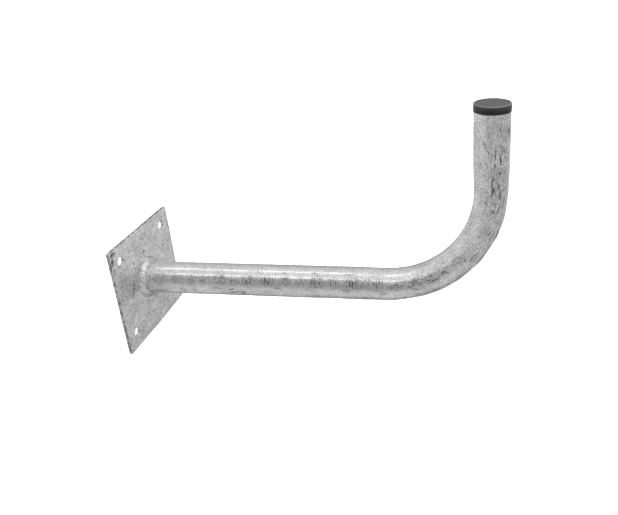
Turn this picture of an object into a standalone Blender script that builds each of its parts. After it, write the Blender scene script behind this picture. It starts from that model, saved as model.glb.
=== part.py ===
"""A wall bracket: a drilled square plate, a bent tube welded to it, and a cap in the tube's open end.

Metres, +Z up. The origin is the centre of the plate's back face, and +X runs out along the arm.
"""

import math

import bmesh
import bpy
from mathutils import Matrix, Vector

# Tube
TUBE_DIAMETER = 0.040
TUBE_WALL = 0.002
ARM_STRAIGHT = 0.311  # from the plate's front face to the start of the bend
BEND_RADIUS = 0.123  # on the tube's axis
BEND_ANGLE = math.radians(90)
UPRIGHT_STRAIGHT = 0.091  # from the end of the bend to the tube's open end

# What bending does to the tube
PRESS_STROKES = (0.056, 0.222, 0.322, 0.433, 0.589, 0.75, 0.872)  # where it struck, of the bend
PRESS_FLAT_SHARE = 0.9  # 1 would be straight chords between the strokes
SQUASH_SHARE = 0.04  # of the tube's radius, lost towards the inside and the outside of the bend
SPREAD_SHARE = 0.6  # of what is lost there, gained at the sides
SQUASH_FADE = 0.035  # how far the squash runs out into the straight lengths

# Plate
PLATE_SIDE = 0.140
PLATE_THICKNESS = 0.004
PLATE_CORNER_RADIUS = 0.003
PLATE_EDGE_RADIUS = 0.0005
HOLE_SPACING = 0.100
HOLE_DIAMETER = 0.011
DRAIN_DIAMETER = 0.008  # lets the zinc run out of the tube, low in its bore
DRAIN_SETBACK = 0.003  # from the lowest line of the bore

# Weld
WELD_LEG = 0.006
WELD_CONVEX_SHARE = -0.15  # 0 is a flat fillet, 1 is a quarter round, and below 0 it is hollow
WELD_RIPPLES = 17  # on each side, from the bottom to the top
WELD_RIPPLE_SHARE = 0.03
WELD_RIPPLE_LAG = math.radians(110)  # how far the middle of a ripple trails its ends
WELD_MEET_SHARE = 0.16  # swelling where the two runs meet
WELD_MEET_POWER = 24

# Cap
CAP_HEAD_HEIGHT = 0.0088
CAP_PROUD = 0.0003  # of the tube, all round
CAP_EDGE_RADIUS = 0.0012
CAP_TOP_WALL = 0.003
PLUG_LENGTH = 0.020
PLUG_WALL = 0.0018
PLUG_RIBS = 4
RIB_HEIGHT = 0.0011
RIB_WIDTH_SHARE = 0.5  # of the distance from rib to rib
RIB_TIP_SHARE = 0.3  # of the rib's width

# Fits
SEAT_GAP = 0.0003  # between pieces that touch
CUT_OVERRUN = 0.002  # of a cutter, past each face

# Fineness
TUBE_SEGMENTS = 40
SEGMENTS_PER_FLAT = 3
FADE_SEGMENTS = 4
HOLE_SEGMENTS = 32
CORNER_SEGMENTS = 4
EDGE_SEGMENTS = 2
WELD_SEGMENTS_PER_RIPPLE = 4
WELD_FACE_SEGMENTS = 5
CAP_EDGE_SEGMENTS = 4
SMOOTH_ANGLE = math.radians(35)
WELD_MERGE = 0.000001  # joins the doubles of a turned pole

TUBE_RADIUS = TUBE_DIAMETER / 2
BORE_RADIUS = TUBE_RADIUS - TUBE_WALL
BEND_RUN = BEND_RADIUS * BEND_ANGLE
TUBE_RUN = ARM_STRAIGHT + BEND_RUN + UPRIGHT_STRAIGHT


def clear_scene():
    for obj in list(bpy.data.objects):
        bpy.data.objects.remove(obj, do_unlink=True)


def principled(name, color, roughness, metallic):
    material = bpy.data.materials.new(name)
    material.use_nodes = True
    shader = material.node_tree.nodes["Principled BSDF"]
    shader.inputs["Base Color"].default_value = (*color, 1)
    shader.inputs["Roughness"].default_value = roughness
    shader.inputs["Metallic"].default_value = metallic
    return material


def plate_zinc():
    return principled("plate_zinc", (0.44, 0.45, 0.45), 0.5, 0.85)


def tube_zinc():
    return principled("tube_zinc", (0.5, 0.51, 0.51), 0.38, 0.9)


def weld_zinc():
    return principled("weld_zinc", (0.56, 0.57, 0.57), 0.34, 0.9)


def cap_plastic():
    return principled("cap_plastic", (0.05, 0.05, 0.053), 0.55, 0)


def add_object(name, bm, material):
    """Closes the bmesh into a named object, with rounded surfaces shaded smooth."""
    bmesh.ops.recalc_face_normals(bm, faces=bm.faces)
    mesh = bpy.data.meshes.new(name)
    bm.to_mesh(mesh)
    bm.free()
    mesh.shade_smooth()
    mesh.set_sharp_from_angle(angle=SMOOTH_ANGLE)
    mesh.materials.append(material)
    obj = bpy.data.objects.new(name, mesh)
    bpy.context.scene.collection.objects.link(obj)
    return obj


def hole_cutter(name, diameter, y, z):
    """A round cutter through the plate, left as a wire guide that isn't part of the bracket."""
    bm = bmesh.new()
    bmesh.ops.create_cone(
        bm,
        cap_ends=True,
        segments=HOLE_SEGMENTS,
        radius1=diameter / 2,
        radius2=diameter / 2,
        depth=PLATE_THICKNESS + 2 * CUT_OVERRUN,
        matrix=Matrix.Rotation(math.pi / 2, 4, "Y"),
    )
    mesh = bpy.data.meshes.new(name)
    bm.to_mesh(mesh)
    bm.free()
    cutter = bpy.data.objects.new(name, mesh)
    cutter.location = (PLATE_THICKNESS / 2, y, z)
    cutter.hide_render = True
    cutter.display_type = "WIRE"
    bpy.context.scene.collection.objects.link(cutter)
    return cutter


def plate_cutters():
    """Four screw holes at the corners, and the drain hole inside the tube's bore."""
    half = HOLE_SPACING / 2
    corners = [(-half, -half), (half, -half), (half, half), (-half, half)]
    cutters = []
    for number, (y, z) in enumerate(corners, 1):
        cutters.append(hole_cutter(f"screw_hole_{number}", HOLE_DIAMETER, y, z))
    drain_z = -(BORE_RADIUS - DRAIN_SETBACK - DRAIN_DIAMETER / 2)
    cutters.append(hole_cutter("drain_hole", DRAIN_DIAMETER, 0, drain_z))
    return cutters


def runs_along_x(edge):
    span = edge.verts[0].co - edge.verts[1].co
    return abs(span.x) > abs(span.y) + abs(span.z)


def wall_plate():
    """A flat square with rounded corners, softly rounded edges and its holes."""
    bm = bmesh.new()
    size = Matrix.Diagonal((PLATE_THICKNESS, PLATE_SIDE, PLATE_SIDE, 1))
    bmesh.ops.create_cube(bm, size=1, matrix=size)
    corners = [edge for edge in bm.edges if runs_along_x(edge)]
    bmesh.ops.bevel(
        bm,
        geom=corners,
        offset=PLATE_CORNER_RADIUS,
        segments=CORNER_SEGMENTS,
        profile=0.5,
        affect="EDGES",
    )
    rims = [edge for edge in bm.edges if not runs_along_x(edge)]
    bmesh.ops.bevel(
        bm,
        geom=rims,
        offset=PLATE_EDGE_RADIUS,
        segments=EDGE_SEGMENTS,
        profile=0.5,
        affect="EDGES",
    )
    plate = add_object("wall_plate", bm, plate_zinc())
    plate.location.x = PLATE_THICKNESS / 2
    for cutter in plate_cutters():
        cut = plate.modifiers.new(cutter.name, "BOOLEAN")
        cut.operation = "DIFFERENCE"
        cut.solver = "EXACT"
        cut.object = cutter
    return plate


def turn_at(run):
    """How far the tube has turned at a run along its axis from the plate."""
    return min(max((run - ARM_STRAIGHT) / BEND_RADIUS, 0), BEND_ANGLE)


def tube_frame(run):
    """The axis at a run from the plate: local X to the bend's outside, local Z along the tube."""
    turn = turn_at(run)
    along = Vector((math.cos(turn), 0, math.sin(turn)))
    outside = Vector((math.sin(turn), 0, -math.cos(turn)))
    side = along.cross(outside)
    bend_centre = Vector((PLATE_THICKNESS + ARM_STRAIGHT, 0, BEND_RADIUS))
    straight = run - ARM_STRAIGHT - turn * BEND_RADIUS
    point = bend_centre + outside * BEND_RADIUS + along * straight
    return Matrix.Translation(point) @ Matrix((outside, side, along)).transposed().to_4x4()


def squash_at(run):
    """1 in the bend, and fading to 0 along the straight lengths on both sides."""
    away = max(ARM_STRAIGHT - run, run - ARM_STRAIGHT - BEND_RUN, 0)
    share = max(1 - away / SQUASH_FADE, 0)
    return share * share * (3 - 2 * share)


def press_flats():
    """The turns between which each flat lies: from stroke to stroke, and out to the bend's ends."""
    turns = [0] + [share * BEND_ANGLE for share in PRESS_STROKES] + [BEND_ANGLE]
    return list(zip(turns, turns[1:]))


def flat_depth(run):
    """How deep the press has flattened the outside of the bend there."""
    turn = turn_at(run)
    first, last = next(flat for flat in press_flats() if turn <= flat[1])
    from_middle = turn - (first + last) / 2
    outer_radius = BEND_RADIUS + TUBE_RADIUS
    chord = outer_radius * math.cos((last - first) / 2) / math.cos(from_middle)
    return PRESS_FLAT_SHARE * (outer_radius - chord)


def tube_ring(bm, run):
    """One ring of the tube's outside, round in the straights, squashed and flattened in the bend."""
    frame = tube_frame(run)
    squash = squash_at(run) * SQUASH_SHARE * TUBE_RADIUS
    flat = flat_depth(run)
    ring = bmesh.ops.create_circle(bm, segments=TUBE_SEGMENTS, radius=TUBE_RADIUS)["verts"]
    for vert in ring:
        outward = vert.co.x / TUBE_RADIUS
        sideways = vert.co.y / TUBE_RADIUS
        vert.co.x -= outward * squash + flat * max(outward, 0) ** 2
        vert.co.y += sideways * squash * SPREAD_SHARE
        vert.co = frame @ vert.co
    return list({edge for vert in ring for edge in vert.link_edges})


def tube_stations():
    """The runs at which the tube gets a ring: close together where its section changes."""
    fade_before = min(SQUASH_FADE, ARM_STRAIGHT - SEAT_GAP)
    fade_after = min(SQUASH_FADE, UPRIGHT_STRAIGHT - SEAT_GAP)
    bend_end = ARM_STRAIGHT + BEND_RUN
    stations = [SEAT_GAP]
    for step in range(FADE_SEGMENTS):
        stations.append(ARM_STRAIGHT - fade_before * (1 - step / FADE_SEGMENTS))
    for first, last in press_flats():
        for step in range(SEGMENTS_PER_FLAT):
            turn = first + (last - first) * step / SEGMENTS_PER_FLAT
            stations.append(ARM_STRAIGHT + BEND_RADIUS * turn)
    stations.append(bend_end)
    for step in range(1, FADE_SEGMENTS + 1):
        stations.append(bend_end + fade_after * step / FADE_SEGMENTS)
    stations.append(TUBE_RUN)
    return stations


def bent_tube():
    """The arm, the bend and the upright: rings bridged along the axis, then given their wall."""
    bm = bmesh.new()
    rings = [tube_ring(bm, run) for run in tube_stations()]
    for near, far in zip(rings, rings[1:]):
        bmesh.ops.bridge_loops(bm, edges=near + far)
    tube = add_object("bent_tube", bm, tube_zinc())
    wall = tube.modifiers.new("wall", "SOLIDIFY")
    wall.thickness = TUBE_WALL
    wall.offset = -1
    wall.use_even_offset = True
    return tube


def weld_reach(across):
    """Distance from the fillet's root to its face, from the plate's side (0) to the tube's."""
    flat_face = 1 / (math.sin(across) + math.cos(across))
    return WELD_LEG * (WELD_CONVEX_SHARE + (1 - WELD_CONVEX_SHARE) * flat_face)


def weld_swell(across, round_tube):
    """How much the bead stands above its plain form: ripples, and a lump where the runs meet."""
    lag = WELD_RIPPLE_LAG * math.sin(across) * math.cos(across)
    ripple = WELD_RIPPLE_SHARE * math.cos(2 * WELD_RIPPLES * abs(round_tube) - lag)
    meet = WELD_MEET_SHARE * math.cos(round_tube) ** WELD_MEET_POWER
    return 1 + ripple + meet


def profile_wire(bm, points, closed):
    """Edges through points given as (radius, height along the axis of turning)."""
    verts = [bm.verts.new((radius, 0, height)) for radius, height in points]
    edges = [bm.edges.new(pair) for pair in zip(verts, verts[1:])]
    if closed:
        edges.append(bm.edges.new((verts[-1], verts[0])))
    return verts + edges


def turn_profile(bm, points, closed, steps):
    """Turns a profile a full circle about local Z."""
    bmesh.ops.spin(
        bm,
        geom=profile_wire(bm, points, closed),
        cent=(0, 0, 0),
        axis=(0, 0, 1),
        angle=2 * math.pi,
        steps=steps,
        use_merge=True,
    )
    bmesh.ops.remove_doubles(bm, verts=bm.verts, dist=WELD_MERGE)


def weld_bead():
    """A rippled fillet of weld all round the tube's root."""
    root = Vector((TUBE_RADIUS + SEAT_GAP, SEAT_GAP))
    points = [root]
    for step in range(WELD_FACE_SEGMENTS + 1):
        across = math.pi / 2 * step / WELD_FACE_SEGMENTS
        reach = weld_reach(across)
        points.append(root + Vector((math.cos(across), math.sin(across))) * reach)
    bm = bmesh.new()
    turn_profile(bm, points, True, 2 * WELD_RIPPLES * WELD_SEGMENTS_PER_RIPPLE)
    for vert in bm.verts:
        radial = Vector((vert.co.x, vert.co.y))
        away = Vector((radial.length, vert.co.z)) - root
        across = math.atan2(away.y, away.x)
        round_tube = math.atan2(radial.y, -radial.x)
        away *= weld_swell(across, round_tube)
        vert.co = (*(radial.normalized() * (root.x + away.x)), root.y + away.y)
    bead = add_object("weld_bead", bm, weld_zinc())
    bead.matrix_world = tube_frame(0)
    return bead


def cap_edge():
    """The rounded edge between the cap's top and its side."""
    head_radius = TUBE_RADIUS + CAP_PROUD
    top = SEAT_GAP + CAP_HEAD_HEIGHT
    points = []
    for step in range(CAP_EDGE_SEGMENTS + 1):
        angle = math.pi / 2 * step / CAP_EDGE_SEGMENTS
        radius = head_radius - CAP_EDGE_RADIUS * (1 - math.sin(angle))
        points.append((radius, top - CAP_EDGE_RADIUS * (1 - math.cos(angle))))
    return points


def plug_ribs(plug_radius):
    """Sealing ribs down the plug: each one rises square above and slopes away below."""
    pitch = PLUG_LENGTH / (PLUG_RIBS + 1)
    width = pitch * RIB_WIDTH_SHARE
    points = []
    for number in range(1, PLUG_RIBS + 1):
        top = -pitch * number + width
        tip = plug_radius + RIB_HEIGHT
        points += [
            (plug_radius, top),
            (tip, top),
            (tip, top - width * RIB_TIP_SHARE),
            (plug_radius, top - width),
        ]
    return points


def end_cap():
    """A flat-topped head the width of the tube, on a hollow ribbed plug that fits its bore."""
    top = SEAT_GAP + CAP_HEAD_HEIGHT
    plug_radius = BORE_RADIUS - SEAT_GAP - RIB_HEIGHT
    hollow_radius = plug_radius - PLUG_WALL
    points = [
        (0, top),
        *cap_edge(),
        (TUBE_RADIUS + CAP_PROUD, SEAT_GAP),
        (plug_radius, SEAT_GAP),
        *plug_ribs(plug_radius),
        (plug_radius, -PLUG_LENGTH),
        (hollow_radius, -PLUG_LENGTH),
        (hollow_radius, top - CAP_TOP_WALL),
        (0, top - CAP_TOP_WALL),
    ]
    bm = bmesh.new()
    turn_profile(bm, points, False, TUBE_SEGMENTS)
    cap = add_object("end_cap", bm, cap_plastic())
    cap.matrix_world = tube_frame(TUBE_RUN)
    return cap


def build():
    clear_scene()
    for make in (wall_plate, bent_tube, weld_bead, end_cap):
        make()


build()
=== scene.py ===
import math

import bmesh
import bpy
import numpy as np
from mathutils import Matrix, Vector


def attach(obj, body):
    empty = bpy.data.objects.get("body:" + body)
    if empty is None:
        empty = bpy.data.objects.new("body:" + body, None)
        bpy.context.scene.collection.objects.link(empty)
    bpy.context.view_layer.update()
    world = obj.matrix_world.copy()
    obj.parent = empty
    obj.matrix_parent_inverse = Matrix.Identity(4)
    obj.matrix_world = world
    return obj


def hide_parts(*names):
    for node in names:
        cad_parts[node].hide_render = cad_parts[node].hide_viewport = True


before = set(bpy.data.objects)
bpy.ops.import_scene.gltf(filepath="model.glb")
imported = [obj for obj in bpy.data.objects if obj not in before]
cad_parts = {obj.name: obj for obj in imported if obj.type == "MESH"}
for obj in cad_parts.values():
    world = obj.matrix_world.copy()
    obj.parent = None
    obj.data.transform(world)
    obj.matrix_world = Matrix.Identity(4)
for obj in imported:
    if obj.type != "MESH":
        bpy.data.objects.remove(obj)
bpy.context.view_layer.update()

print("frame loaded:", ", ".join(sorted(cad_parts)))


# Camera, at the photograph's viewing angle

cameraView = {
    "position": (0.41658, -0.62649, 0.37996),
    "turn": 10.22,  # degrees, to the right of straight ahead
    "lookDown": 21.35,
    "roll": 3.56,
    "lens": 34.95,
    "shiftX": -0.1003,
    "shiftY": -0.1197,
}


def addCamera(view):
    bpy.ops.object.camera_add(location=view["position"])
    camera = bpy.context.object
    camera.name = "photoCamera"
    turn = Matrix.Rotation(math.radians(view["turn"]), 4, "Z")
    tilt = Matrix.Rotation(math.radians(90 - view["lookDown"]), 4, "X")
    roll = Matrix.Rotation(math.radians(-view["roll"]), 4, "Z")
    camera.rotation_euler = (turn @ tilt @ roll).to_euler()
    camera.data.sensor_width = 36
    camera.data.lens = view["lens"]
    camera.data.shift_x = view["shiftX"]
    camera.data.shift_y = view["shiftY"]
    camera.data.clip_start = 0.01
    bpy.context.scene.camera = camera


addCamera(cameraView)
print("camera set")


# Small helpers for modelling

hair = 1e-6  # metres: closer than this is the same place


def startClean():
    if bpy.context.object and bpy.context.object.mode != "OBJECT":
        bpy.ops.object.mode_set(mode="OBJECT")
    bpy.ops.object.select_all(action="DESELECT")


def editPiece(kind):
    bpy.ops.object.mode_set(mode="EDIT")
    bpy.ops.mesh.select_mode(type=kind)


def selectParts(kind, wanted):
    bpy.ops.mesh.select_mode(type={"verts": "VERT", "edges": "EDGE", "faces": "FACE"}[kind])
    bpy.ops.mesh.select_all(action="DESELECT")
    mesh = bpy.context.object.data
    shape = bmesh.from_edit_mesh(mesh)
    for part in getattr(shape, kind):
        if wanted(part):
            part.select_set(True)
    shape.select_flush_mode()
    bmesh.update_edit_mesh(mesh)


def namePiece(name):
    piece = bpy.context.object
    piece.name = name
    piece.data.name = name
    bpy.ops.object.transform_apply(location=True, rotation=True, scale=True)
    return piece


def addModifier(piece, kind, **settings):
    modifier = piece.modifiers.new(kind.lower(), kind)
    for setting, value in settings.items():
        setattr(modifier, setting, value)
    bpy.ops.object.modifier_apply(modifier=modifier.name)


def zincWaves(name, size):
    texture = bpy.data.textures.new(name, "CLOUDS")
    texture.noise_scale = size
    texture.noise_depth = 2
    return texture


def smoothPiece(degrees):
    bpy.ops.object.mode_set(mode="OBJECT")
    bpy.ops.object.shade_smooth_by_angle(angle=math.radians(degrees))


def readPoints(piece):
    points = np.zeros(len(piece.data.vertices) * 3)
    piece.data.vertices.foreach_get("co", points)
    return points.reshape(-1, 3)


def writePoints(piece, points):
    piece.data.vertices.foreach_set("co", points.astype(np.float32).ravel())
    piece.data.update()


def smoothStep(value, low, high):
    share = np.clip((value - low) / (high - low), 0, 1)
    return share * share * (3 - 2 * share)


def finishPiece(piece, node, material):
    piece.data.materials.clear()
    piece.data.materials.append(material)
    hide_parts(node)
    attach(piece, "root")
    triangles = sum(len(face.vertices) - 2 for face in piece.data.polygons)
    print(piece.name, "done,", triangles, "triangles")


# Small helpers for materials

class Wire:  # a node's output, so that masks can be written as sums and products
    def __init__(self, graph, socket):
        self.graph = graph
        self.socket = socket

    def maths(self, operation, *values):
        return self.graph.node("ShaderNodeMath", {"operation": operation}, dict(enumerate(values)))

    def __add__(self, other):
        return self.maths("ADD", self, other)

    def __sub__(self, other):
        return self.maths("SUBTRACT", self, other)

    def __rsub__(self, other):
        return self.maths("SUBTRACT", other, self)

    def __mul__(self, other):
        return self.maths("MULTIPLY", self, other)

    def __abs__(self):
        return self.maths("ABSOLUTE", self)

    __radd__ = __add__
    __rmul__ = __mul__

    def larger(self, other):
        return self.maths("MAXIMUM", self, other)

    def over(self, low, high):  # 0 below low, 1 above high, smooth between
        settings = {"interpolation_type": "SMOOTHSTEP"}
        return self.graph.node("ShaderNodeMapRange", settings, {0: self, 1: low, 2: high})

    def under(self, low, high):  # 1 below low, 0 above high
        return 1 - self.over(low, high)


class Graph:
    def __init__(self, tree):
        self.tree = tree

    def node(self, kind, settings, inputs, output=0):
        made = self.tree.nodes.new(kind)
        for name, value in settings.items():
            if name == "stops":
                self.setStops(made.color_ramp, value)
            else:
                setattr(made, name, value)
        for name, value in inputs.items():
            self.feed(made.inputs[name], value)
        return Wire(self, made.outputs[output])

    def feed(self, socket, value):
        if isinstance(value, Wire):
            self.tree.links.new(value.socket, socket)
        else:
            socket.default_value = value

    def setStops(self, ramp, stops):
        while len(ramp.elements) < len(stops):
            ramp.elements.new(1)
        for element, (position, grey) in zip(ramp.elements, stops):
            element.position = position
            element.color = (grey, grey, grey, 1)

    def noise(self, at, size, detail=2, roughness=0.5, distortion=0):
        inputs = {"Vector": at, "Scale": 1 / size, "Detail": detail, "Roughness": roughness,
                  "Distortion": distortion}
        return self.node("ShaderNodeTexNoise", {}, inputs)

    def cells(self, at, size, output="Distance"):
        return self.node("ShaderNodeTexVoronoi", {}, {"Vector": at, "Scale": 1 / size}, output)

    def axis(self, at, number):  # 0, 1 or 2 for x, y or z
        return self.node("ShaderNodeSeparateXYZ", {}, {0: at}, number)

    def grey(self, tone, blueShare=1):
        return self.node("ShaderNodeCombineColor", {}, {0: tone, 1: tone, 2: tone * blueShare})

    def stretched(self, at, scale):
        return self.node("ShaderNodeMapping", {}, {"Vector": at, "Scale": scale})

    def hatch(self, at, pitch):  # broken strokes across the X direction
        inputs = {"Vector": at, "Scale": math.pi / 10 / pitch, "Distortion": 7, "Detail": 3,
                  "Detail Scale": 1.4}
        return self.node("ShaderNodeTexWave", {}, inputs, "Fac").over(0.25, 0.65)

    def swirled(self, at, size, reach):
        push = self.node("ShaderNodeTexNoise", {}, {"Vector": at, "Scale": 1 / size, "Detail": 2}, "Color")
        push = self.node("ShaderNodeVectorMath", {"operation": "SUBTRACT"}, {0: push, 1: (0.5, 0.5, 0.5)})
        settings = {"operation": "MULTIPLY_ADD"}
        return self.node("ShaderNodeVectorMath", settings, {0: push, 1: (reach, reach, reach), 2: at})

    def mark(self, at, place, turn, size):  # 1 inside an ellipse, 0 outside it
        settings = {"vector_type": "TEXTURE"}
        inputs = {"Vector": at, "Location": place, "Rotation": turn, "Scale": size}
        inside = self.node("ShaderNodeMapping", settings, inputs)
        return self.node("ShaderNodeVectorMath", {"operation": "LENGTH"}, {0: inside}, "Value").under(0.6, 1)

    def mixed(self, share, first, second):
        settings = {"data_type": "RGBA"}
        return self.node("ShaderNodeMix", settings, {0: share, 6: first, 7: second}, 2)


def newMaterial(name):
    material = bpy.data.materials.new(name)
    material.use_nodes = True
    return material, Graph(material.node_tree), material.node_tree.nodes["Principled BSDF"]


# What the bracket's three zinc coats share: sizes in metres, shares, and heights of the relief
zinc = {
    "cloudSize": 0.030,
    "cloudTone": 0.20,
    "blueShare": 1.008,
    "peelSize": 0.0021,
    "spangleSwirl": (0.010, 0.004),  # size and reach of the waves in the spangle's outlines
    "flowEdge": (0.008, 0.030),
    "flowPatchSize": 0.016,
    "ringStep": 0.045,
    "ringEdge": (0.006, 0.036),
    "pitSize": 0.0032,
    "pitEdge": (0.12, 0.28),
    "pitPatchSize": 0.013,
    "pitDepth": 0.00012,
    "markDepth": 0.00006,
    "lumpSize": 0.0030,
    "roughSpread": 0.12,
    "lumpShine": 0.10,
}


def nowhere(graph):
    return 0


def everywhere(graph):
    return 1


def zincCoat(name, look, readCoordinates, readMarks, dullPlaces=nowhere, coarsePlaces=everywhere,
             lumpyPlaces=nowhere):
    material, graph, shader = newMaterial(name)
    at = readCoordinates(graph)
    cloud = graph.noise(at, zinc["cloudSize"], 2)
    mottle = graph.noise(at, look["mottleSize"], 4, 0.62, 0.7)
    blotch = graph.noise(at, look["blotchSize"], 3, 0.6, 1.0).over(0.36, 0.64)
    peel = graph.noise(at, zinc["peelSize"], 3, 0.6)
    brushed = graph.noise(graph.stretched(at, look["brushStretch"]), look["brushSize"], 3, 0.55, 0.3)
    spangle = graph.cells(graph.swirled(at, *zinc["spangleSwirl"]), look["spangleSize"], "Color")
    spangleTone = graph.node("ShaderNodeSeparateColor", {}, {0: spangle}, 0)

    # thin curly flow lines where the zinc ran and set
    flow = graph.noise(at, look["flowSize"], 2, 0.5, 1.6)
    flowLine = abs(flow - 0.5).under(*zinc["flowEdge"])
    flowMark = flowLine * graph.noise(at, zinc["flowPatchSize"], 1).over(0.44, 0.58)

    # faint rings round the places where it set last
    level = graph.noise(at, look["ringSize"], 1, 0.5, 0.6)
    rings = level.maths("PINGPONG", level, zinc["ringStep"]).over(*zinc["ringEdge"])

    # small dark pits in patches
    pitRoom = graph.noise(at, zinc["pitPatchSize"], 2, 0.6).over(0.50, 0.62)
    pits = graph.cells(at, zinc["pitSize"]).under(*zinc["pitEdge"]) * pitRoom

    marks = readMarks(graph, at)
    dull, coarse, lumpy = dullPlaces(graph), coarsePlaces(graph), lumpyPlaces(graph)
    # Pits, flow lines and each coat's marks darken the zinc; on the tube the marks also paint the dark
    # reflection band, and on the weld painted contact shade
    darkening = (coarse * (pits * look["pitShare"] + flowMark * look["flowShare"])).larger(marks)
    tone = look["tone"] * (1 + zinc["cloudTone"] * (cloud - 0.5)) * (1 - look["mottleTone"] * (blotch - 0.5))
    tone = tone * (1 + look["spangleTone"] * (spangleTone - 0.5))
    tone = tone * (1 - look["grainTone"] * coarse * (peel - 0.5)) * (1 - look["ringTone"] * rings)
    zincColor = graph.grey(tone, zinc["blueShare"])
    graph.feed(shader.inputs["Base Color"], graph.mixed(darkening, zincColor, look["darkeningColor"]))
    rough = look["roughness"] + zinc["roughSpread"] * (mottle - 0.5) + look["dullShare"] * darkening
    graph.feed(shader.inputs["Roughness"], rough + dull - zinc["lumpShine"] * lumpy)
    shader.inputs["Metallic"].default_value = look["metallic"]

    height = look["mottleHeight"] * mottle + look["peelHeight"] * peel + look["brushHeight"] * brushed
    height = height + look["flowHeight"] * flowMark - zinc["pitDepth"] * pits - zinc["markDepth"] * marks
    height = height + look["lumpHeight"] * lumpy * graph.noise(at, zinc["lumpSize"], 3, 0.6)
    bump = graph.node("ShaderNodeBump", {}, {"Strength": 1, "Distance": 1, "Height": height})
    graph.feed(shader.inputs["Normal"], bump)
    return material


def objectCoordinates(graph):
    return graph.node("ShaderNodeTexCoord", {}, {}, "Object")


# Wall plate: sheared square with punched holes under a zinc coat

plate = {
    "side": 0.140,
    "thickness": 0.004,
    "cornerRadius": 0.003,
    "edgeRadius": 0.0006,
    "holeSpacing": 0.100,
    "holeRadius": 0.0055,
    "holeSides": 72,
    "drainRadius": 0.004,
    "drainZ": -0.011,
    "rimRadius": 0.0005,
    "gridStep": 0.0035,
    "waveSize": 0.016,
    "waveDepth": 0.00016,
    "markSwirl": (0.0030, 0.0022),  # size and reach of the waves in a mark's outline
    "holeDirt": 0.75,
    "holeDirtReach": 1.12,
    "edgeDirt": (0.0010, 0.0003),  # in from the edge, from none to full
}

plateLook = {
    "tone": 0.835, "metallic": 0.92, "roughness": 0.38, "darkeningColor": (0.14, 0.14, 0.142, 1),
    "mottleSize": 0.0065, "mottleTone": 0.15, "mottleHeight": 0.00046,
    "blotchSize": 0.0042, "grainTone": 0.8, "peelHeight": 0.00007,
    "brushStretch": (1, 1, 1), "brushSize": 0.004, "brushHeight": 0.00012,
    "spangleSize": 0.009, "spangleTone": 0.20,
    "flowSize": 0.0080, "flowShare": 0.58, "flowHeight": 0.00008, "ringSize": 0.020, "ringTone": 0.18,
    "pitShare": 0.6, "dullShare": 0.1, "lumpHeight": 0,
}

# Dark marks on the plate's front: place across and up, turn in degrees, half length, half width, share
plateMarks = [
    (-0.0006, 0.0373, 0, 0.0024, 0.0021, 1.0), (-0.0111, 0.0339, 0, 0.0018, 0.0015, 0.8),
    (-0.0006, 0.0296, 0, 0.0017, 0.0015, 0.9), (-0.0279, 0.0338, 80, 0.0032, 0.0015, 0.9),
    (-0.0640, 0.0655, 20, 0.0046, 0.0032, 1.0), (-0.0660, 0.0570, 70, 0.0070, 0.0026, 0.95),
    (-0.0590, 0.0640, 60, 0.0036, 0.0018, 0.85), (-0.0384, 0.0040, 66, 0.0150, 0.0012, 1.0),
    (-0.0655, 0.0440, 85, 0.0050, 0.0018, 0.6), (0.0150, 0.0480, 50, 0.0030, 0.0012, 0.6),
    (0.0080, 0.0590, 40, 0.0032, 0.0010, 0.5), (0.0600, 0.0330, 80, 0.0040, 0.0014, 0.7),
    (-0.0455, -0.0060, 78, 0.0090, 0.0007, 0.4), (-0.0190, -0.0440, 12, 0.0060, 0.0009, 0.7),
    (-0.0090, -0.0465, -25, 0.0050, 0.0009, 0.65), (-0.0125, -0.0490, 40, 0.0040, 0.0008, 0.5),
    (0.0310, 0.0585, 15, 0.0040, 0.0010, 0.5), (0.0420, -0.0300, 55, 0.0120, 0.0009, 0.5),
    (0.0180, -0.0560, 8, 0.0090, 0.0010, 0.5), (0.0560, 0.0120, 85, 0.0060, 0.0014, 0.6),
]


def plateDirt(graph, at):
    # The marks, the holes' walls and the sheared edges, all with broken outlines
    x, y, z = (graph.axis(at, number) for number in range(3))
    at = graph.swirled(at, *plate["markSwirl"])
    middle, half = plate["thickness"] / 2, plate["side"] / 2
    darkening = 0
    for across, up, turn, length, width, share in plateMarks:
        mark = graph.mark(at, (middle, across, up), (math.radians(turn), 0, 0), (1, length, width))
        darkening = (share * mark).larger(darkening)
    darkening = darkening * x.over(0.2 * plate["thickness"], 0.9 * plate["thickness"])
    darkening = darkening * (0.40 + 0.60 * graph.noise(at, 0.0022, 3, 0.65).over(0.38, 0.48))
    for holeY, holeZ, radius in holeCentres():
        reach = radius * plate["holeDirtReach"]
        hole = graph.mark(at, (middle, holeY, holeZ), (0, 0, 0), (1, reach, reach))
        darkening = darkening.larger(plate["holeDirt"] * hole)
    none, full = (half - inwards for inwards in plate["edgeDirt"])
    edge = abs(y).larger(abs(z)).over(none, full)
    broken = 0.20 + 0.55 * graph.noise(at, 0.0045, 3, 0.6).over(0.42, 0.56)
    return darkening.larger(edge * broken)


def holeCentres():
    half = plate["holeSpacing"] / 2
    holes = [(y, z, plate["holeRadius"]) for y in (-half, half) for z in (-half, half)]
    return holes + [(0, plate["drainZ"], plate["drainRadius"])]


def onHoleRim(edge):
    for y, z, radius in holeCentres():
        if all(abs(math.hypot(v.co.y - y, v.co.z - z) - radius) < 10 * hair for v in edge.verts):
            return abs(edge.verts[0].co.x - edge.verts[1].co.x) < hair
    return False


def cutHole(piece, y, z, radius):
    thickness = plate["thickness"]
    bpy.ops.mesh.primitive_cylinder_add(vertices=plate["holeSides"], radius=radius, depth=thickness * 3,
                                        location=(thickness / 2, y, z), rotation=(0, math.pi / 2, 0))
    punch = bpy.context.object
    startClean()
    bpy.context.view_layer.objects.active = piece
    piece.select_set(True)
    addModifier(piece, "BOOLEAN", object=punch, operation="DIFFERENCE", solver="EXACT")
    bpy.data.objects.remove(punch)


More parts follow.
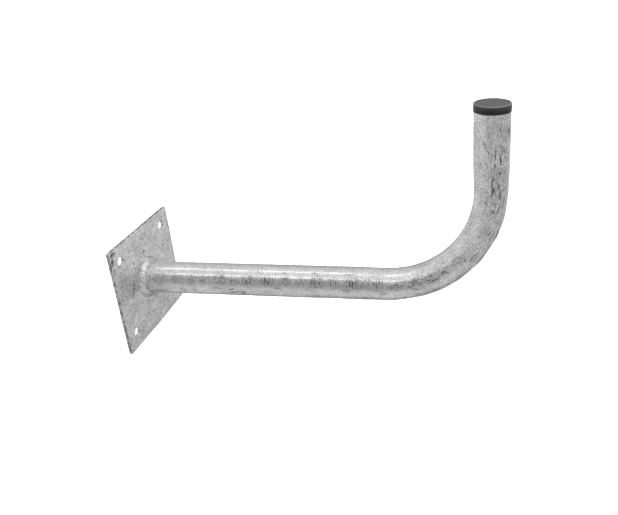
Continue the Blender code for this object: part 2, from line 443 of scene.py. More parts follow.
def makePlate():
    startClean()
    thickness, side = plate["thickness"], plate["side"]
    bpy.ops.mesh.primitive_cube_add(size=1, location=(thickness / 2, 0, 0), scale=(thickness, side, side))
    piece = namePiece("wallPlate")
    editPiece("EDGE")
    selectParts("edges", lambda edge: abs(edge.verts[0].co.x - edge.verts[1].co.x) > thickness / 2)
    bpy.ops.mesh.bevel(offset=plate["cornerRadius"], segments=8, affect="EDGES")
    selectParts("edges", lambda edge: abs(edge.verts[0].co.x - edge.verts[1].co.x) < hair)
    bpy.ops.mesh.bevel(offset=plate["edgeRadius"], segments=3, affect="EDGES")
    bpy.ops.object.mode_set(mode="OBJECT")
    for y, z, radius in holeCentres():
        cutHole(piece, y, z, radius)
    editPiece("EDGE")
    selectParts("edges", onHoleRim)
    bpy.ops.mesh.bevel(offset=plate["rimRadius"], segments=3, affect="EDGES")
    cuts = int(side / plate["gridStep"])
    for step in range(1, cuts):
        place = side * (step / cuts - 0.5)
        for centre, normal in (((0, place, 0), (0, 1, 0)), ((0, 0, place), (0, 0, 1))):
            bpy.ops.mesh.select_all(action="SELECT")
            bpy.ops.mesh.bisect(plane_co=centre, plane_no=normal)
    bpy.ops.object.mode_set(mode="OBJECT")
    addModifier(piece, "DISPLACE", texture=zincWaves("plateWaves", plate["waveSize"]),
                strength=plate["waveDepth"], mid_level=1, texture_coords="LOCAL")
    smoothPiece(40)
    coat = zincCoat("plateZinc", plateLook, objectCoordinates, plateDirt)
    finishPiece(piece, "wall_plate", coat)


makePlate()


# Bent tube: arm, bend and upright in one length

tube = {
    "radius": 0.020,
    "wall": 0.002,
    "armStraight": 0.311,  # from the plate's front face to the start of the bend
    "bendRadius": 0.123,
    "uprightStraight": 0.091,
    "gap": 0.0003,
    "around": 112,
    "armCuts": 178,
    "bendSteps": 118,
    "uprightCuts": 52,
    "strokes": (0.056, 0.222, 0.322, 0.433, 0.589, 0.75, 0.872),  # of the bending press, along the bend
    "flatShare": 0.9,
    "squash": 0.0008,
    "spreadShare": 0.6,
    "squashFade": 0.035,
    "waveSize": 0.011,
    "waveDepth": 0.00015,
    "seamTurn": 148,  # degrees round from the bend's outside, away from the photographer
    "seamWidth": 0.0012,
    "seamHeight": 0.00012,
    "clampRun": 0.246,
    "clampLength": 0.040,
    "clampDepth": 0.0006,
    "weldSpatter": (0.012, 0.022),  # run where the bright lumps beside the weld end
    "armCoarse": 0.35,  # strength of pits and grain on the arm
    "coarseRun": (0.320, 0.345),  # where they grow to their full strength
    "halfDullRun": (0.328, 0.340),  # where the shine goes, in two steps
    "dullRun": (0.390, 0.460),
    "dullSteps": (0.12, 0.26),
    "runWander": 0.020,
    "runWanderSize": 0.009,
    "crackSwirl": (0.0040, 0.0016),
    "crackSide": (-0.004, 0),  # cracks only on the photographer's side
}
bendStart = plate["thickness"] + tube["armStraight"]
bendRun = tube["bendRadius"] * math.pi / 2

# Places darkened by streaks along the tube, then by strokes across it. They are partly marks in the zinc and
# partly painted
# reflection: the streaks round 104 to 118 degrees at the start of the bend and the strokes round 114 to 124
# degrees on the arm paint the dark reflected band on the camera's side. Columns: run from the plate, turn in
# degrees from the bend's outside towards the photographer, half length, half width, share
streaksWithPaintedBand = [
    (0.014, 66, 0.012, 0.006, 0.9), (0.022, 60, 0.010, 0.004, 0.8), (0.055, 70, 0.006, 0.006, 0.8),
    (0.072, 78, 0.006, 0.004, 0.5), (0.100, 82, 0.012, 0.005, 0.8), (0.118, 74, 0.016, 0.007, 0.9),
    (0.133, 66, 0.008, 0.005, 0.9), (0.181, 92, 0.008, 0.004, 0.8), (0.221, 92, 0.006, 0.004, 0.8),
    (0.264, 91, 0.007, 0.004, 0.9), (0.171, 72, 0.018, 0.004, 0.4), (0.240, 62, 0.030, 0.003, 0.6),
    # From run 0.330 to 0.412, round 104 to 118 degrees: painted reflection, the dark band at the start of the
    # bend
    (0.285, 60, 0.030, 0.003, 0.7), (0.309, 88, 0.006, 0.003, 0.8), (0.330, 113, 0.016, 0.006, 0.8),
    (0.350, 110, 0.014, 0.007, 1.0), (0.372, 108, 0.014, 0.006, 1.0), (0.393, 107, 0.012, 0.005, 0.9),
    (0.412, 112, 0.012, 0.004, 0.7), (0.361, 118, 0.016, 0.005, 0.7), (0.356, 94, 0.016, 0.004, 0.5),
    (0.185, 148, 0.009, 0.0022, 0.6), (0.206, 148, 0.007, 0.0022, 0.5), (0.226, 149, 0.010, 0.0020, 0.6),
    (0.268, 150, 0.008, 0.0024, 0.6), (0.300, 152, 0.007, 0.0022, 0.6), (0.083, 157, 0.003, 0.0030, 0.6),
    (0.038, 144, 0.005, 0.0030, 0.6), (0.102, 146, 0.008, 0.0022, 0.4), (0.150, 150, 0.008, 0.0022, 0.4),
    (0.345, 62, 0.020, 0.003, 0.5), (0.380, 60, 0.030, 0.003, 0.6), (0.412, 66, 0.018, 0.004, 0.7),
    (0.430, 78, 0.010, 0.005, 0.7), (0.447, 80, 0.010, 0.004, 0.55), (0.452, 58, 0.018, 0.003, 0.55),
    (0.415, 36, 0.030, 0.003, 0.6), (0.465, 84, 0.010, 0.003, 0.55), (0.472, 60, 0.018, 0.003, 0.5),
    (0.492, 84, 0.016, 0.0036, 0.8), (0.516, 85, 0.026, 0.0032, 1.0), (0.545, 83, 0.018, 0.0026, 1.0),
    (0.494, 64, 0.020, 0.0040, 0.8), (0.520, 63, 0.028, 0.0038, 1.0), (0.552, 64, 0.024, 0.0030, 0.95),
    (0.578, 66, 0.014, 0.0016, 0.6), (0.505, 50, 0.034, 0.006, 0.50), (0.550, 46, 0.034, 0.006, 0.50),
    (0.330, 43, 0.024, 0.0018, 0.7), (0.366, 38, 0.024, 0.0018, 0.8), (0.400, 32, 0.026, 0.0018, 0.9),
    (0.440, 26, 0.026, 0.0018, 0.9), (0.478, 20, 0.024, 0.0018, 0.8), (0.372, 104, 0.016, 0.0050, 0.8),
    (0.576, 36, 0.008, 0.005, 0.8), (0.535, 74, 0.040, 0.0030, 0.35), (0.499, 104, 0.006, 0.0030, 0.7),
    (0.528, 106, 0.006, 0.0035, 0.6), (0.560, 112, 0.007, 0.0012, 0.6), (0.552, 102, 0.005, 0.0012, 0.6),
    (0.548, 94, 0.005, 0.0012, 0.6), (0.540, 96, 0.018, 0.004, 0.25), (0.574, 104, 0.014, 0.004, 0.25),
    (0.536, 128, 0.010, 0.004, 0.25), (0.484, 108, 0.010, 0.004, 0.35),
    (0.060, 250, 0.020, 0.006, 0.7), (0.140, 285, 0.030, 0.006, 0.6), (0.210, 240, 0.030, 0.006, 0.6),
    (0.300, 262, 0.030, 0.006, 0.7), (0.385, 250, 0.030, 0.006, 0.7), (0.450, 285, 0.030, 0.006, 0.8),
    (0.530, 268, 0.040, 0.006, 0.8), (0.565, 305, 0.030, 0.006, 0.7), (0.100, 10, 0.040, 0.008, 0.6),
    (0.250, 350, 0.040, 0.007, 0.6), (0.470, 5, 0.040, 0.007, 0.7), (0.555, 350, 0.030, 0.007, 0.7),
    (0.180, 190, 0.030, 0.006, 0.4), (0.420, 180, 0.030, 0.006, 0.4), (0.550, 185, 0.030, 0.006, 0.5),
]
strokesWithPaintedBand = [
    # Round 114 to 124 degrees on the arm: painted reflection, the dark band; the rest are marks round the
    # tube
    (0.022, 118, 0.016, 0.006, 0.5), (0.048, 117, 0.010, 0.006, 0.6), (0.068, 116, 0.006, 0.008, 0.8),
    (0.084, 114, 0.008, 0.007, 0.5), (0.106, 118, 0.012, 0.008, 0.8), (0.124, 116, 0.008, 0.008, 0.7),
    (0.141, 118, 0.010, 0.008, 1.0), (0.166, 118, 0.012, 0.008, 0.9), (0.190, 119, 0.008, 0.008, 0.8),
    (0.208, 116, 0.008, 0.006, 0.6), (0.228, 118, 0.012, 0.008, 1.0), (0.249, 118, 0.008, 0.008, 0.9),
    (0.274, 118, 0.014, 0.009, 1.0), (0.291, 124, 0.006, 0.006, 0.8), (0.303, 120, 0.008, 0.008, 0.9),
    (0.055, 262, 0.020, 0.009, 0.7), (0.110, 248, 0.026, 0.009, 0.8), (0.172, 262, 0.018, 0.009, 0.6),
    (0.215, 250, 0.022, 0.009, 0.8), (0.272, 256, 0.024, 0.009, 0.7), (0.070, 0, 0.040, 0.010, 0.3),
    (0.190, 8, 0.050, 0.010, 0.4), (0.180, 205, 0.120, 0.010, 0.2),
]

# Thin cracks in the zinc, and in the four long ones from run 0.372 to 0.464 thin dark lines along the bend's
# outer edge: run, height towards the bend's outside, turn, half length, half width
tubeCracks = [
    (0.5634, -0.0084, -17, 0.0058, 0.0007), (0.5555, -0.0041, -47, 0.0040, 0.0007),
    (0.5530, 0.0009, 90, 0.0026, 0.0007), (0.5500, 0.0032, 10, 0.0050, 0.0007),
    (0.4200, -0.0010, -55, 0.0040, 0.0007), (0.3345, 0.0095, 50, 0.0034, 0.0007),
    (0.3480, 0.0085, -30, 0.0040, 0.0006), (0.4620, 0.0060, 20, 0.0040, 0.0006),
    (0.3720, 0.0106, 3, 0.0180, 0.0007), (0.4040, 0.0121, 3, 0.0170, 0.0008),
    (0.4360, 0.0138, 3, 0.0170, 0.0008), (0.4640, 0.0152, 3, 0.0130, 0.0007),
]

tubeLook = {
    "tone": 0.87, "metallic": 0.94, "roughness": 0.225, "darkeningColor": (0.10, 0.10, 0.102, 1),
    "mottleSize": 0.0055, "mottleTone": 0.10, "mottleHeight": 0.00011,
    "blotchSize": 0.0034, "grainTone": 1.1, "peelHeight": 0.00004,
    "brushStretch": (1, 0.34, 0.34), "brushSize": 0.0028, "brushHeight": 0.00005,
    "spangleSize": 0.008, "spangleTone": 0.10,
    "flowSize": 0.0060, "flowShare": 0.45, "flowHeight": 0.00005, "ringSize": 0.016, "ringTone": 0.14,
    "pitShare": 0.65, "dullShare": 0.15, "lumpHeight": 0.0014,
    "streakStretch": (0.17, 1, 1), "streakSize": 0.0014, "streakShare": 0.90,
    "hatchPitch": 0.0033, "hatchPatchSize": 0.0045, "smudgeSize": 0.0034, "strokeShare": 0.92,
    "crackShare": 0.85,
}


def bendAngle(points):
    return np.arctan2(points[:, 0] - bendStart, tube["bendRadius"] - points[:, 2])


def unbend(points):
    # Run along the axis, side, and height towards the bend's outside, as if the tube were straight
    angle = np.clip(bendAngle(points), 0, math.pi / 2)
    fromCentreX, fromCentreZ = points[:, 0] - bendStart, points[:, 2] - tube["bendRadius"]
    outside = fromCentreX * np.sin(angle) - fromCentreZ * np.cos(angle) - tube["bendRadius"]
    straight = fromCentreX * np.cos(angle) + fromCentreZ * np.sin(angle)
    run = tube["armStraight"] + tube["bendRadius"] * angle + straight
    return np.stack([run, points[:, 1], outside], axis=1)


def rebend(unbent):
    run, side, outside = unbent.T
    angle = np.clip((run - tube["armStraight"]) / tube["bendRadius"], 0, math.pi / 2)
    straight = run - tube["armStraight"] - tube["bendRadius"] * angle
    reach = tube["bendRadius"] + outside
    x = bendStart + reach * np.sin(angle) + straight * np.cos(angle)
    z = tube["bendRadius"] - reach * np.cos(angle) + straight * np.sin(angle)
    return np.stack([x, side, z], axis=1)


def pressTube(unbent):
    # The squash and the flats of the bending press, the clamp's mark and the tube's own seam
    run, side, outside = unbent.T.copy()
    outward, sideways = outside / tube["radius"], side / tube["radius"]
    # how far past either end of the bend, where the squash fades out
    away = np.maximum(np.maximum(tube["armStraight"] - run, run - tube["armStraight"] - bendRun), 0)
    squash = tube["squash"] * smoothStep(1 - away / tube["squashFade"], 0, 1)
    # the outside follows straight chords between the strokes
    angle = np.clip((run - tube["armStraight"]) / tube["bendRadius"], 0, math.pi / 2)
    struck = np.array([0, *tube["strokes"], 1]) * math.pi / 2
    last = np.clip(np.searchsorted(struck, angle), 1, len(struck) - 1)
    halfStroke = (struck[last] - struck[last - 1]) / 2
    fromMiddle = angle - struck[last] + halfStroke
    outerRadius = tube["bendRadius"] + tube["radius"]
    chord = outerRadius * np.cos(halfStroke) / np.cos(fromMiddle)
    flat = tube["flatShare"] * (outerRadius - chord)
    clamp = tube["clampDepth"] * smoothStep(1 - abs(run - tube["clampRun"]) / tube["clampLength"] * 2, 0, 0.7)
    seam = math.radians(tube["seamTurn"])
    fromSeam = np.hypot(sideways - math.sin(seam), outward - math.cos(seam)) * tube["radius"]
    ridge = tube["seamHeight"] * smoothStep(1 - fromSeam / tube["seamWidth"], 0, 1)
    reach = 1 + ridge / tube["radius"]
    pressed = outside * reach - outward * squash - (flat + clamp) * np.maximum(outward, 0) ** 2
    return np.stack([run, side * reach + sideways * squash * tube["spreadShare"], pressed], axis=1)


def shareInPlaces(unbent, places):  # full near the middle of each place, gone a quarter past its edge
    run, side, outside = unbent.T
    turn = np.degrees(np.arctan2(-side, outside)) % 360
    share = np.zeros(len(run))
    for atRun, atTurn, length, width, most in places:
        around = np.radians((turn - atTurn + 180) % 360 - 180) * tube["radius"]
        spread = np.sqrt(((run - atRun) / length) ** 2 + (around / width) ** 2)
        share = np.maximum(share, most * smoothStep(1.25 - spread, 0, 1))
    return share


def keepOnPoints(piece, name, kind, values):
    attribute = piece.data.attributes.new(name, kind, "POINT")
    field = "vector" if kind == "FLOAT_VECTOR" else "value"
    attribute.data.foreach_set(field, values.astype(np.float32).ravel())


def isLongEdge(edge, axis):  # one that runs the length of the arm or of the upright
    return abs(edge.verts[0].co[axis] - edge.verts[1].co[axis]) > 0.05


def makeTube():
    startClean()
    start = plate["thickness"] + tube["gap"]
    bpy.ops.mesh.primitive_circle_add(vertices=tube["around"], radius=tube["radius"],
                                      location=(start, 0, 0), rotation=(0, math.pi / 2, 0))
    piece = namePiece("bentTube")
    editPiece("EDGE")
    bpy.ops.mesh.select_all(action="SELECT")
    bpy.ops.mesh.extrude_region_move(TRANSFORM_OT_translate={"value": (bendStart - start, 0, 0)})
    bpy.ops.mesh.spin(steps=tube["bendSteps"], angle=math.pi / 2, axis=(0, 1, 0),
                      center=(bendStart, 0, tube["bendRadius"]))
    selectParts("edges", lambda edge: all(abs(v.co.z - tube["bendRadius"]) < hair for v in edge.verts))
    bpy.ops.mesh.extrude_region_move(TRANSFORM_OT_translate={"value": (0, 0, tube["uprightStraight"])})
    selectParts("edges", lambda edge: isLongEdge(edge, 0))
    bpy.ops.mesh.subdivide_edgering(number_cuts=tube["armCuts"], interpolation="LINEAR")
    selectParts("edges", lambda edge: isLongEdge(edge, 2))
    bpy.ops.mesh.subdivide_edgering(number_cuts=tube["uprightCuts"], interpolation="LINEAR")
    bpy.ops.mesh.select_all(action="SELECT")
    bpy.ops.mesh.remove_doubles(threshold=hair)
    bpy.ops.mesh.normals_make_consistent(inside=False)
    bpy.ops.object.mode_set(mode="OBJECT")
    writePoints(piece, rebend(pressTube(unbend(readPoints(piece)))))
    addModifier(piece, "DISPLACE", texture=zincWaves("tubeWaves", tube["waveSize"]),
                strength=tube["waveDepth"], mid_level=1, texture_coords="LOCAL")
    addModifier(piece, "SOLIDIFY", thickness=tube["wall"], offset=-1, use_even_offset=True)
    smoothPiece(40)
    unbent = unbend(readPoints(piece))
    keepOnPoints(piece, "straightened", "FLOAT_VECTOR", unbent)
    # Streaked and stroked places are partly marks in the zinc, partly painted reflection of the dark band
    keepOnPoints(piece, "streaked", "FLOAT", shareInPlaces(unbent, streaksWithPaintedBand))
    keepOnPoints(piece, "stroked", "FLOAT", shareInPlaces(unbent, strokesWithPaintedBand))
    coat = zincCoat("tubeZinc", tubeLook, straightenedCoordinates, tubeMarks, dullPastArm, coarsePastArm,
                    besideWeld)
    finishPiece(piece, "bent_tube", coat)


def straightenedCoordinates(graph):
    return graph.node("ShaderNodeAttribute", {"attribute_name": "straightened"}, {}, "Vector")


def streakedPlaces(graph):
    return graph.node("ShaderNodeAttribute", {"attribute_name": "streaked"}, {}, "Fac")


def strokedPlaces(graph):
    return graph.node("ShaderNodeAttribute", {"attribute_name": "stroked"}, {}, "Fac")


def pastRun(graph, place):
    at = straightenedCoordinates(graph)
    wander = tube["runWander"] * (graph.noise(at, tube["runWanderSize"], 2) - 0.5)
    return (graph.axis(at, 0) + wander).over(*tube[place])


def besideWeld(graph):
    return 1 - pastRun(graph, "weldSpatter")


def dullPastArm(graph):
    first, second = tube["dullSteps"]
    return first * pastRun(graph, "halfDullRun") + second * pastRun(graph, "dullRun")


def coarsePastArm(graph):
    return tube["armCoarse"] + (1 - tube["armCoarse"]) * pastRun(graph, "coarseRun")


def tubeMarks(graph, at):
    # Dark streaks along the tube, strokes across it and thin cracks and lines, each in its places; the
    # streaks and strokes round 104 to 124 degrees paint the dark reflection band on the camera's side
    grain = graph.noise(graph.stretched(at, tubeLook["streakStretch"]), tubeLook["streakSize"], 2, 0.6, 0.15)
    streaks = grain.over(0.485, 0.55) * streakedPlaces(graph)
    hatchRoom = graph.noise(at, tubeLook["hatchPatchSize"], 3, 0.6).over(0.40, 0.52)
    smudges = graph.noise(at, tubeLook["smudgeSize"], 3, 0.65).over(0.54, 0.62)
    strokes = (graph.hatch(at, tubeLook["hatchPitch"]) * hatchRoom).larger(smudges) * strokedPlaces(graph)
    wavy = graph.swirled(at, *tube["crackSwirl"])
    cracks = 0
    for run, outside, turn, length, width in tubeCracks:
        crack = graph.mark(wavy, (run, 0, outside), (0, math.radians(-turn), 0), (length, 1, width))
        cracks = crack.larger(cracks)
    cracks = cracks * graph.axis(at, 1).under(*tube["crackSide"])
    marks = (tubeLook["streakShare"] * streaks).larger(tubeLook["strokeShare"] * strokes)
    return marks.larger(tubeLook["crackShare"] * cracks)


makeTube()


# Weld bead: a rippled fillet all round the tube's root

weld = {
    "leg": 0.006,
    "convexShare": -0.15,
    "sinkIn": 0.0005,  # into the plate and the tube, which it is fused to
    "faceSteps": 18,
    "around": 396,
    "ripples": 17,  # on each side, from the bottom to the top
    "rippleShare": 0.018,
    "rippleLag": math.radians(110),
    "rippleUneven": 0.4,
    "rippleWander": 0.9,
    "meetShare": 0.16,  # swelling at the top, where the two runs meet
    "meetPower": 24,
    "unevenShare": 0.17,
    "unevenWaves": (2, 3, 5, 7, 11),  # to a turn
    "unevenScale": 2.2,
    "seeds": {"ripple": 9, "wander": 4, "leg": 2},
    "backShare": 0.98,  # of the leg, so that the back stays inside the toes
    "plateToe": (0.0016, 0.35),  # width and darkness of the line on the plate, then on the tube: partly dirt, partly painted contact shade
    "tubeToe": (0.0010, 0.55),
    "lumpRun": (0.004, 0.001),  # back from the tube's toe, from none to full
}

weldLook = {
    "tone": 0.79, "metallic": 0.94, "roughness": 0.30, "darkeningColor": (0.10, 0.10, 0.102, 1),
    "mottleSize": 0.0080, "mottleTone": 0.40, "mottleHeight": 0.0010,
    "blotchSize": 0.0060, "grainTone": 0.4, "peelHeight": 0.00004,
    "brushStretch": (1, 1, 1), "brushSize": 0.003, "brushHeight": 0.0001,
    "spangleSize": 0.007, "spangleTone": 0.10,
    "flowSize": 0.006, "flowShare": 0.3, "flowHeight": 0.00004, "ringSize": 0.016, "ringTone": 0,
    "pitShare": 0.6, "dullShare": 0.2, "lumpHeight": 0.0011,
}


def toeDirtAndShade(graph, at):
    # Dark lines where the weld meets the plate and the tube: partly dirt, partly painted contact shade in the
    # crevices
    x, y, z = (graph.axis(at, number) for number in range(3))
    outer, front = tube["radius"] + weld["leg"], plate["thickness"] + weld["leg"]
    plateWidth, plateShare = weld["plateToe"]
    tubeWidth, tubeShare = weld["tubeToe"]
    onPlate = (y * y + z * z).over((outer - plateWidth) ** 2, outer ** 2)
    toes = (plateShare * onPlate).larger(tubeShare * x.over(front - tubeWidth, front))
    return toes * (0.4 + 0.6 * graph.noise(at, 0.006, 2).over(0.40, 0.55))


def weldTubeSide(graph):
    none, full = (plate["thickness"] + weld["leg"] - back for back in weld["lumpRun"])
    return graph.axis(objectCoordinates(graph), 0).over(none, full)


def weldReach(across):
    flatFace = 1 / (np.sin(across) + np.cos(across))
    return weld["leg"] * (weld["convexShare"] + (1 - weld["convexShare"]) * flatFace)


def uneven(turn, seed):
    # A few slow waves round the tube, that close on themselves
    draw = np.random.default_rng(weld["seeds"][seed])
    waves = sum(draw.uniform(0.4, 1) / count ** 0.5 * np.sin(count * turn + draw.uniform(0, 6.28))
                for count in weld["unevenWaves"])
    return waves / weld["unevenScale"]


def makeWeld():
    startClean()
    rootRadius, rootX = tube["radius"] + tube["gap"], plate["thickness"] + tube["gap"]
    sections = weld["faceSteps"] + 4
    bpy.ops.mesh.primitive_circle_add(vertices=sections, radius=weld["leg"] / 2,
                                      location=(rootX, 0, rootRadius), rotation=(math.pi / 2, 0, 0))
    piece = namePiece("weldBead")
    across = np.linspace(0, math.pi / 2, weld["faceSteps"] + 1)
    face = np.stack([np.sin(across), np.cos(across)], axis=1) * weldReach(across)[:, None]
    sink, toe = weld["sinkIn"], weld["leg"] * weld["backShare"]
    back = np.array([[toe, -sink], [-sink, -sink], [-sink, toe]])
    outline = np.concatenate([face, back])
    points = np.stack([rootX + outline[:, 0], np.zeros(sections), rootRadius + outline[:, 1]], axis=1)
    writePoints(piece, points)
    editPiece("EDGE")
    bpy.ops.mesh.select_all(action="SELECT")
    bpy.ops.mesh.spin(steps=weld["around"], angle=2 * math.pi, axis=(1, 0, 0), center=(0, 0, 0))
    bpy.ops.mesh.select_all(action="SELECT")
    bpy.ops.mesh.remove_doubles(threshold=hair)
    bpy.ops.mesh.normals_make_consistent(inside=False)
    bpy.ops.object.mode_set(mode="OBJECT")
    writePoints(piece, rippleWeld(readPoints(piece), rootRadius, rootX))
    smoothPiece(50)
    coat = zincCoat("weldZinc", weldLook, objectCoordinates, toeDirtAndShade, lumpyPlaces=weldTubeSide)
    finishPiece(piece, "weld_bead", coat)


def rippleWeld(points, rootRadius, rootX):
    radius = np.hypot(points[:, 1], points[:, 2])
    turn = np.arctan2(points[:, 1], points[:, 2])  # 0 at the top
    out, up = points[:, 0] - rootX, radius - rootRadius
    across = np.clip(np.arctan2(out, up), 0, math.pi / 2)
    lag = weld["rippleLag"] * np.sin(across) * np.cos(across)  # the middle of a ripple trails its ends
    phase = 2 * weld["ripples"] * (math.pi - abs(turn)) + weld["rippleWander"] * uneven(turn, "wander")
    ripple = weld["rippleShare"] * (1 + weld["rippleUneven"] * uneven(turn, "ripple")) * np.cos(phase - lag)
    meet = weld["meetShare"] * np.cos(turn) ** weld["meetPower"]
    swell = 1 + ripple + meet + weld["unevenShare"] * uneven(turn, "leg") * np.sin(2 * across)
    outside = (out > 0) & (up > 0)
    swell = np.where(outside, swell, 1 + meet)
    newRadius = rootRadius + np.where(up > 0, up * swell, up)
    newX = rootX + np.where(out > 0, out * swell, out)
    return np.stack([newX, np.sin(turn) * newRadius, np.cos(turn) * newRadius], axis=1)


makeWeld()


# End cap: a moulded head on a ribbed plug

cap = {
    "radius": 0.0203,
    "height": 0.0088,
    "edgeRadius": 0.0012,
    "sinkDepth": 0.00025,  # the top's middle, from the plastic's shrinkage
    "gateRadius": 0.0011,
    "gateHeight": 0.00012,
    "around": 128,
    "plugLength": 0.020,
    "plugRadius": 0.0166,
    "ribs": 4,
    "ribHeight": 0.0011,
    "plugWall": 0.0018,
    "topWall": 0.003,
    "sinkRings": 11,
    "gateTaper": 0.92,
    "footRadius": 0.0003,
}

capLook = {
    "tone": 0.041, "blueShare": 1.02, "cloudSize": 0.011, "cloudTone": 0.32,
    "grainSize": 0.0009, "grainTone": 0.012, "grainHeight": 0.00003,
    "scuffSize": 0.0012, "scuffStretch": (1, 0.12, 1), "scuffTone": 0.010, "scuffRough": 0.1,
    "bloomSize": 0.005, "bloomRough": 0.14, "bloomHeight": 0.00004, "roughness": 0.44,
    "rimHighlightShare": 1.6,  # how much lighter the rim is painted: a painted highlight on the rounded edge
    "footShadeShare": 0.88,  # how much darker the foot is painted: painted shade where the head meets the tube
    "rimWidth": (0.0008, 0.0004),  # from inside the rim to outside it
    "rimDepth": (0.0018, 0.0006),  # down from the top
    "footHeight": (0.002, 0.0085),
}


def capPlastic(axisX, bottom, top):
    material, graph, shader = newMaterial("capPlastic")
    at = objectCoordinates(graph)
    grain = graph.noise(at, capLook["grainSize"], 3, 0.6)
    cloud = graph.noise(at, capLook["cloudSize"], 2)
    drawn = graph.stretched(at, capLook["scuffStretch"])
    scuff = graph.noise(drawn, capLook["scuffSize"], 2).over(0.66, 0.78)
    bloom = graph.noise(at, capLook["bloomSize"], 3, 0.6)
    tone = capLook["tone"] * (1 + capLook["cloudTone"] * (cloud - 0.5))
    tone = tone + capLook["scuffTone"] * scuff * bloom + capLook["grainTone"] * (grain - 0.5)
    # painted highlight on the rim, painted shade darker towards the foot
    x, y, z = (graph.axis(at, number) for number in range(3))
    rimRadius = cap["radius"] - cap["edgeRadius"]
    inside, outside = capLook["rimWidth"]
    rimHighlight = ((x - axisX) * (x - axisX) + y * y).over((rimRadius - inside) ** 2, (rimRadius + outside) ** 2)
    rimHighlight = rimHighlight * z.over(*(top - depth for depth in capLook["rimDepth"]))
    footShade = z.under(*(bottom + height for height in capLook["footHeight"]))
    tone = tone * (1 + capLook["rimHighlightShare"] * rimHighlight) * (1 - capLook["footShadeShare"] * footShade)
    graph.feed(shader.inputs["Base Color"], graph.grey(tone, capLook["blueShare"]))
    rough = capLook["roughness"] + capLook["bloomRough"] * (bloom - 0.5) + capLook["scuffRough"] * scuff
    graph.feed(shader.inputs["Roughness"], rough)
    height = capLook["grainHeight"] * grain + capLook["bloomHeight"] * bloom
    bump = graph.node("ShaderNodeBump", {}, {"Strength": 1, "Distance": 1, "Height": height})
    graph.feed(shader.inputs["Normal"], bump)
    return material


def atHeight(edge, height):
    return all(abs(v.co.z - height) < hair for v in edge.verts)


def selectDisc(height):
    # The one face with all the cap's corners, at this height
    selectParts("faces", lambda face: len(face.verts) == cap["around"]
                and abs(face.calc_center_median().z - height) < hair)


def drawOut(axisX, radius, steps):
    # Extrudes the chosen disc of this radius through steps of distance and new radius
    shape = bmesh.from_edit_mesh(bpy.context.object.data)
    height = next(face for face in shape.faces if face.select).calc_center_median().z
    for distance, newRadius in steps:
        height += distance
        bpy.ops.mesh.extrude_region_move(TRANSFORM_OT_translate={"value": (0, 0, distance)})
        share = newRadius / radius
        bpy.ops.transform.resize(value=(share, share, 1), center_override=(axisX, 0, height))
        radius = newRadius


def makeCap():
    startClean()
    axisX = bendStart + tube["bendRadius"]
    bottom = tube["bendRadius"] + tube["uprightStraight"] + tube["gap"]
    top = bottom + cap["height"]
    bpy.ops.mesh.primitive_cylinder_add(vertices=cap["around"], radius=cap["radius"], depth=cap["height"],
                                        location=(axisX, 0, (bottom + top) / 2))
    piece = namePiece("endCap")
    editPiece("FACE")
    # the plug under the head, with its ribs and its hollow
    selectDisc(bottom)
    plugRadius, pitch = cap["plugRadius"], cap["plugLength"] / (cap["ribs"] + 1)
    ribOut = plugRadius + cap["ribHeight"]
    rib = [(-pitch * 0.5, plugRadius), (0, ribOut), (-pitch * 0.15, ribOut), (-pitch * 0.35, plugRadius)]
    boreRadius, boreDepth = plugRadius - cap["plugWall"], cap["plugLength"] + cap["height"] - cap["topWall"]
    bore = [(-pitch, plugRadius), (0, boreRadius), (boreDepth, boreRadius)]
    drawOut(axisX, cap["radius"], [(0, plugRadius)] + rib * cap["ribs"] + bore)
    # the head's rounded edges, its sunk top and the moulding gate
    selectParts("edges", lambda edge: atHeight(edge, top))
    bpy.ops.mesh.bevel(offset=cap["edgeRadius"], segments=7, affect="EDGES")
    selectParts("edges", lambda edge: atHeight(edge, bottom) and all(
        math.hypot(v.co.x - axisX, v.co.y) > cap["radius"] - 10 * hair for v in edge.verts))
    bpy.ops.mesh.bevel(offset=cap["footRadius"], segments=2, affect="EDGES")
    selectDisc(top)
    flatRadius, gateRadius, rings = cap["radius"] - cap["edgeRadius"], cap["gateRadius"], cap["sinkRings"]
    inwards = (gateRadius - flatRadius) / rings
    drawOut(axisX, flatRadius, [(-cap["sinkDepth"] / rings, flatRadius + inwards * ring)
                                for ring in range(1, rings + 1)])
    drawOut(axisX, gateRadius, [(cap["gateHeight"], gateRadius * cap["gateTaper"])])
    bpy.ops.mesh.select_all(action="SELECT")
    bpy.ops.mesh.remove_doubles(threshold=hair / 10)
    bpy.ops.object.mode_set(mode="OBJECT")
    smoothPiece(35)
    finishPiece(piece, "end_cap", capPlastic(axisX, bottom, top))


makeCap()


# Studio: a plain pale floor, a soft overhead light, two strip lights and a soft grey room, which the
# camera sees as white

studio = {
    "floorZ": -0.0702,
    "floorSize": 24,
    "floorTone": 0.95,
    "floorClouds": (0.4, 0.02),  # size and depth of its faint unevenness
    "overheadStrength": 5.6,
    "overheadSpread": 70,  # degrees, wide for soft shadows
    "overheadLean": (10, 15),  # degrees, from the photographer and from the free end
    "stripDistance": 1.0,
    "stripCentreX": -0.187,
    "stripLength": 0.73,
    "stripWidth": 0.10,
    "stripTurns": (95.6, 54.6),  # degrees up from the photographer's side, over the arm
    "stripPowers": (0.37, 0.37),
}

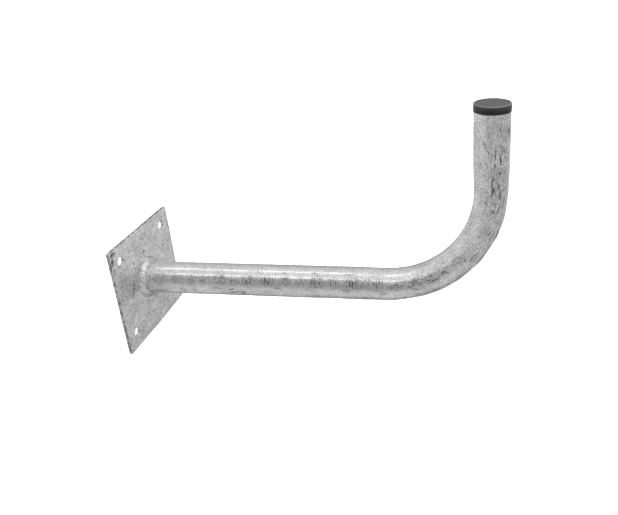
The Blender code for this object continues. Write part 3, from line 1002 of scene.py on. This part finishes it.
# Brightness of each side of the room by the height of the direction, from straight down (0) to
# straight up (1)
roomFront = [(0.0, 0.60), (0.20, 0.60), (0.29, 0.50), (0.40, 0.33), (0.50, 0.28),
             (0.76, 0.28), (0.83, 0.40), (0.90, 0.64), (1.0, 0.70)]
roomBack = [(0.0, 0.34), (0.20, 0.24), (0.36, 0.30), (0.45, 0.40), (0.64, 0.40),
            (0.76, 0.52), (0.86, 0.58), (1.0, 0.70)]
roomRightBack = [(0.0, 0.46), (0.22, 0.52), (0.27, 0.60), (0.32, 0.82), (0.42, 0.86),
                 (0.70, 0.60), (1.0, 0.70)]
roomRightFront = [(0.0, 0.62), (0.26, 0.62), (0.36, 0.42), (0.50, 0.34),
                  (0.62, 0.44), (0.74, 0.90), (0.84, 1.00), (1.0, 0.80)]
roomLeft = [(0.0, 0.81), (0.40, 0.81), (0.55, 0.70), (0.66, 0.70),
            (0.76, 0.66), (0.86, 0.68), (1.0, 0.70)]


def makeRoom():
    world = bpy.data.worlds.new("studioRoom")
    bpy.context.scene.world = world
    world.use_nodes = True
    graph = Graph(world.node_tree)
    direction = graph.node("ShaderNodeTexCoord", {}, {}, "Generated")
    side, depth, up = (graph.axis(direction, number) for number in range(3))
    height = 0.5 + 0.5 * up
    front, back, rightBack, rightFront, left = (
        graph.node("ShaderNodeValToRGB", {"stops": stops}, {0: height})
        for stops in (roomFront, roomBack, roomRightBack, roomRightFront, roomLeft))
    # the front fades into the back by the direction's depth, and the other sides are laid over both
    room = graph.mixed(depth.over(-0.3, 0.45), front, back)
    room = graph.mixed(side.over(0.20, 0.42) * depth.over(0.3, 0.6), room, rightBack)
    room = graph.mixed(side.over(0.30, 0.55) * depth.under(0.1, 0.4), room, rightFront)
    room = graph.mixed(side.under(-0.90, -0.35), room, left)
    seen = graph.node("ShaderNodeLightPath", {}, {}, "Is Camera Ray")
    background = world.node_tree.nodes["Background"]
    graph.feed(background.inputs["Color"], graph.mixed(seen, room, (1, 1, 1, 1)))


def makeFloor():
    startClean()
    bpy.ops.mesh.primitive_plane_add(size=studio["floorSize"], location=(0, 0, studio["floorZ"]))
    floor = namePiece("paleFloor")
    material, graph, shader = newMaterial("palePaper")
    size, depth = studio["floorClouds"]
    tone = studio["floorTone"] + depth * (graph.noise(objectCoordinates(graph), size, 2) - 0.5)
    graph.feed(shader.inputs["Base Color"], graph.grey(tone))
    shader.inputs["Roughness"].default_value = 1
    shader.inputs["Specular IOR Level"].default_value = 0
    floor.data.materials.append(material)
    floor.visible_glossy = False
    floor.visible_diffuse = False
    floor.visible_shadow = False


def addStripLight(name, place, towards, power):
    bpy.ops.object.light_add(type="AREA", location=place)
    lamp = bpy.context.object
    lamp.name = name
    lamp.data.shape = "RECTANGLE"
    lamp.data.size, lamp.data.size_y = studio["stripLength"], studio["stripWidth"]
    lamp.data.energy = power
    lamp.rotation_euler = (Vector(towards) - lamp.location).to_track_quat("-Z", "Y").to_euler()
    lamp.visible_camera = False


def makeLights():
    startClean()
    bpy.ops.object.light_add(type="SUN", location=(0, 0, 2))
    overhead = bpy.context.object
    overhead.name = "overheadLight"
    overhead.data.energy = studio["overheadStrength"]
    overhead.data.angle = math.radians(studio["overheadSpread"])
    overhead.rotation_euler = [math.radians(lean) for lean in studio["overheadLean"]] + [0]
    overhead.visible_glossy = False
    reach = studio["stripDistance"]
    for number, (turn, power) in enumerate(zip(studio["stripTurns"], studio["stripPowers"]), 1):
        angle = math.radians(turn)
        place = (studio["stripCentreX"], -reach * math.cos(angle), reach * math.sin(angle))
        addStripLight(f"stripLight{number}", place, (studio["stripCentreX"], 0, 0), power)


makeRoom()
makeFloor()
makeLights()
bpy.context.scene.view_settings.view_transform = "Standard"
print("studio lit")
